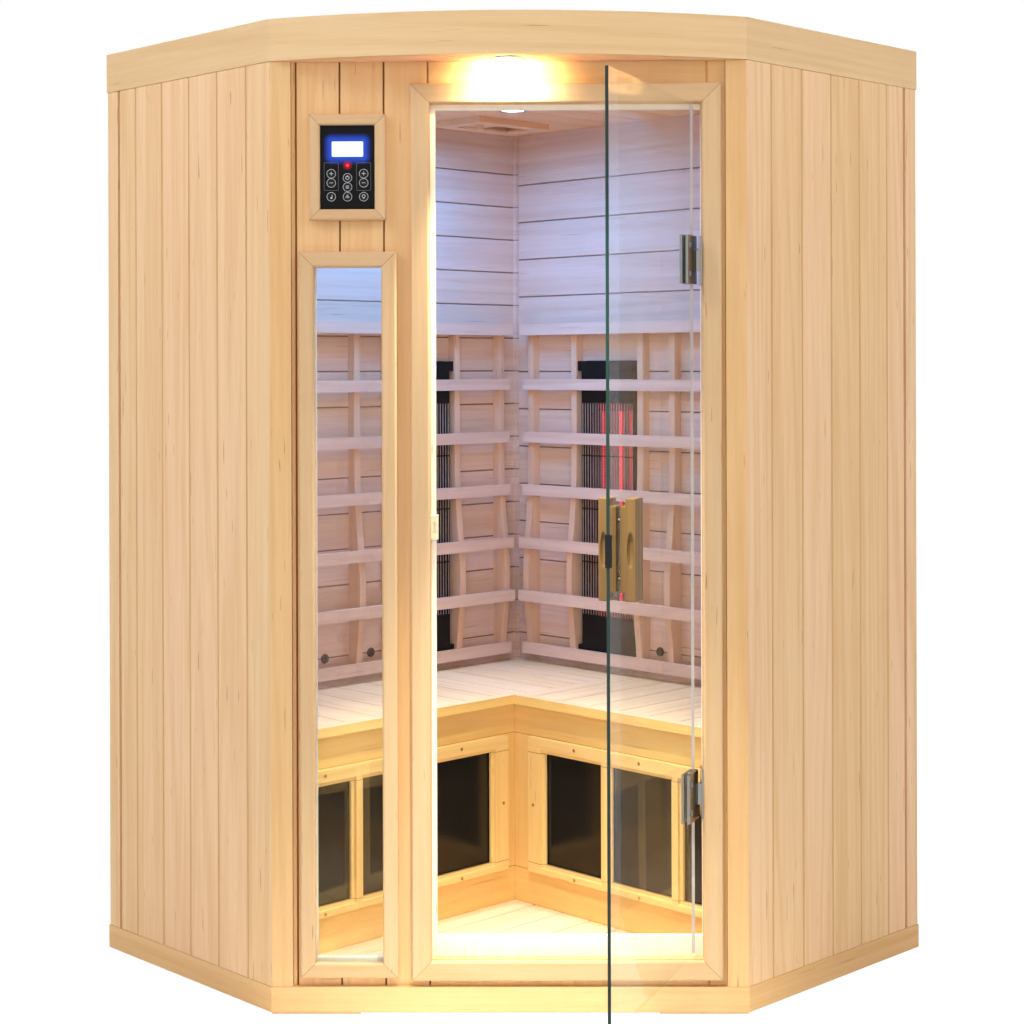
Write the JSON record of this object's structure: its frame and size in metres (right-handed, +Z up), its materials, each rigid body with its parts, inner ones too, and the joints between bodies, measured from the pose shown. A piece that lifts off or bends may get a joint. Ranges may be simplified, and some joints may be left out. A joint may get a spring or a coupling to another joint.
{
  "type": "infrared sauna cabin",
  "caption": "Corner infrared sauna cabin in boarded softwood with a glass door, fixed window, keypad, corner bench, slatted backrests and heaters.",
  "frame": {"origin": "on the floor, on the left-right centre plane, midway between the front and the rear corner", "axes": "+Z up, -Y towards the door, +X to the right when facing the door"},
  "size_m": [1.7196, 1.7195, 1.9],
  "materials": {
    "pine": "satin softwood",
    "pale_wood": "plain sanded softwood",
    "grip_wood": "oiled",
    "clear_glass": "clear, toughened",
    "hinge_steel": "brushed",
    "black_plastic": "smooth",
    "key_plastic": "matt",
    "black_steel": "matt black",
    "carbon_panel": "smooth dark laminate",
    "quartz": "red quartz",
    "cream_plastic": "matt",
    "lamp_metal": "satin"
  },
  "bodies": {
    "cabin": {"base_tray": "pine", "floor_panel": "pine", "left_side_panel": "pine", "right_side_panel": "pine", "left_back_panel": "pine", "right_back_panel": "pine", "front_panel": "pine", "door_casing": "pine", "window_casing": "pine", "control_casing": "pine", "roof_cap": "pine", "left_bench_front": "pine", "right_bench_front": "pine", "left_calf_heater_frame": "pine", "right_calf_heater_frame": "pine", "left_side_lining": "pale_wood", "right_side_lining": "pale_wood", "left_back_lining": "pale_wood", "right_back_lining": "pale_wood", "front_lining": "pale_wood", "left_bench_seat": "pale_wood", "right_bench_seat": "pale_wood", "left_backrest": "pale_wood", "right_backrest": "pale_wood", "ceiling_panel": "pale_wood", "vent_frame": "pale_wood", "window_glass": "clear_glass", "upper_hinge_leaf": "hinge_steel", "upper_hinge_pin": "hinge_steel", "lower_hinge_leaf": "hinge_steel", "lower_hinge_pin": "hinge_steel", "control_faceplate": "black_plastic", "power_unit": "black_plastic", "left_heater_housing": "black_steel", "right_heater_housing": "black_steel", "left_heater_grille": "black_steel", "right_heater_grille": "black_steel", "left_calf_heater": "carbon_panel", "right_calf_heater": "carbon_panel", "left_quartz_tubes": "quartz", "right_quartz_tubes": "quartz", "magnet_catch": "cream_plastic", "exterior_light": "lamp_metal", "ceiling_light": "lamp_metal"},
    "door": {"door_glass": "clear_glass", "door_handle_outer": "grip_wood", "door_handle_inner": "grip_wood", "upper_hinge_clamp": "hinge_steel", "lower_hinge_clamp": "hinge_steel", "strike_plate": "black_steel"},
    "vent_slide": {"vent_slide": "pale_wood"},
    "key_temperature_up": {"key_temperature_up": "key_plastic"},
    "key_temperature_down": {"key_temperature_down": "key_plastic"},
    "key_sound": {"key_sound": "key_plastic"},
    "key_power": {"key_power": "key_plastic"},
    "key_preset": {"key_preset": "key_plastic"},
    "key_colour_light": {"key_colour_light": "key_plastic"},
    "key_time_up": {"key_time_up": "key_plastic"},
    "key_time_down": {"key_time_down": "key_plastic"},
    "key_lamp": {"key_lamp": "key_plastic"}
  },
  "joints": [
    {"name": "door_hinge", "type": "hinge", "parent": "cabin", "child": "door", "pos_m": [0.35208, -0.62133, 0.925], "axis": [0, 0, 1], "range_deg": [-68.8, 26.2]},
    {"name": "vent_shutter_slide", "type": "slide", "parent": "cabin", "child": "vent_slide", "axis": [0.7071, 0.7071, 0], "range_m": [0, 0.09]},
    {"name": "key_temperature_up_press", "type": "slide", "parent": "cabin", "child": "key_temperature_up", "axis": [0, 1, 0], "range_m": [0, 0.0006], "stiffness_N_per_m": 400},
    {"name": "key_temperature_down_press", "type": "slide", "parent": "cabin", "child": "key_temperature_down", "axis": [0, 1, 0], "range_m": [0, 0.0006], "stiffness_N_per_m": 400},
    {"name": "key_sound_press", "type": "slide", "parent": "cabin", "child": "key_sound", "axis": [0, 1, 0], "range_m": [0, 0.0006], "stiffness_N_per_m": 400},
    {"name": "key_power_press", "type": "slide", "parent": "cabin", "child": "key_power", "axis": [0, 1, 0], "range_m": [0, 0.0006], "stiffness_N_per_m": 400},
    {"name": "key_preset_press", "type": "slide", "parent": "cabin", "child": "key_preset", "axis": [0, 1, 0], "range_m": [0, 0.0006], "stiffness_N_per_m": 400},
    {"name": "key_colour_light_press", "type": "slide", "parent": "cabin", "child": "key_colour_light", "axis": [0, 1, 0], "range_m": [0, 0.0006], "stiffness_N_per_m": 400},
    {"name": "key_time_up_press", "type": "slide", "parent": "cabin", "child": "key_time_up", "axis": [0, 1, 0], "range_m": [0, 0.0006], "stiffness_N_per_m": 400},
    {"name": "key_time_down_press", "type": "slide", "parent": "cabin", "child": "key_time_down", "axis": [0, 1, 0], "range_m": [0, 0.0006], "stiffness_N_per_m": 400},
    {"name": "key_lamp_press", "type": "slide", "parent": "cabin", "child": "key_lamp", "axis": [0, 1, 0], "range_m": [0, 0.0006], "stiffness_N_per_m": 400}
  ]
}
